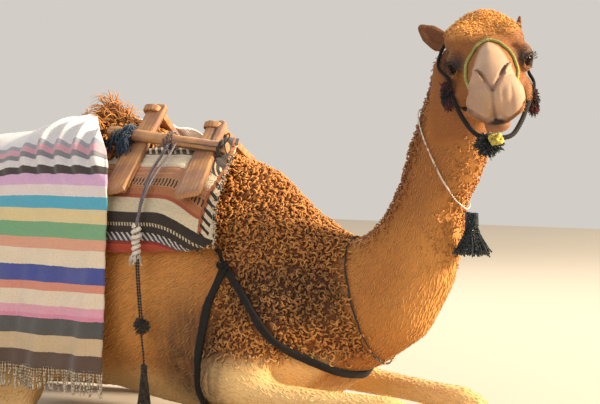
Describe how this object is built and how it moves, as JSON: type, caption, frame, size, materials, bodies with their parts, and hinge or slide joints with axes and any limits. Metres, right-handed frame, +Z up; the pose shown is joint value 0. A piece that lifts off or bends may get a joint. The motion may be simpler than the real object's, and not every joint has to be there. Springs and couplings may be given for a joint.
{
  "type": "dromedary camel",
  "caption": "Dromedary camel couched with its head turned, wearing a wooden riding saddle, striped blanket and halter; a still, life-size model.",
  "frame": {"origin": "middle of the flat under the breast pad, on the floor", "axes": "+X the way the trunk faces, +Y the animal's left, +Z up"},
  "size_m": [2.2315, 0.8831, 1.2889],
  "materials": {
    "coat": "short dense fur",
    "wool": "curly wool",
    "pale_coat": "short pale fur",
    "face": "short fur and bare skin",
    "pad_skin": "horny pad skin",
    "eye": "wet dark eye",
    "black_felt": "braided black wool",
    "white_yarn": "twisted white yarn",
    "dark_yarn": "navy-black yarn",
    "red_yarn": "dark red and black yarn",
    "green_rope": "yellow-green twisted rope",
    "grey_rope": "grey twisted rope",
    "dark_cord": "dark twisted cord",
    "woven_pad": "woven striped wool",
    "striped_blanket": "woven striped cotton with a twisted fringe",
    "wood": "worn rubbed wood"
  },
  "bodies": {
    "root": {"trunk": "coat", "neck": "coat", "ear_right": "coat", "ear_left": "coat", "hindleg_right_thigh": "coat", "hindleg_right_gaskin": "coat", "hindleg_right_cannon": "coat", "hindleg_right_foot": "coat", "hindleg_left_thigh": "coat", "hindleg_left_gaskin": "coat", "hindleg_left_cannon": "coat", "hindleg_left_foot": "coat", "hump": "wool", "tail": "wool", "foreleg_right_forearm": "pale_coat", "foreleg_right_cannon": "pale_coat", "foreleg_right_foot": "pale_coat", "foreleg_left_forearm": "pale_coat", "foreleg_left_cannon": "pale_coat", "foreleg_left_foot": "pale_coat", "head": "face", "breast_pad": "pad_skin", "eye_right": "eye", "eye_left": "eye", "girth": "black_felt", "breast_strap": "black_felt", "neck_cord": "black_felt", "headstall": "black_felt", "jaw_strap": "black_felt", "neck_string": "white_yarn", "rope_knot": "white_yarn", "neck_tassel": "dark_yarn", "chin_wool": "dark_yarn", "string_pom": "dark_yarn", "string_tassel": "dark_yarn", "cheek_pom_right": "red_yarn", "cheek_pom_left": "red_yarn", "noseband": "green_rope", "chin_knot": "green_rope", "hanging_rope": "grey_rope", "hanging_string": "dark_cord", "saddle_pad": "woven_pad", "rear_cushion": "woven_pad", "blanket": "striped_blanket", "saddle_pole_right": "wood", "saddle_pole_left": "wood", "saddle_board_front_right": "wood", "saddle_board_front_left": "wood", "saddle_board_rear_right": "wood", "saddle_board_rear_left": "wood"}
  },
  "joints": []
}
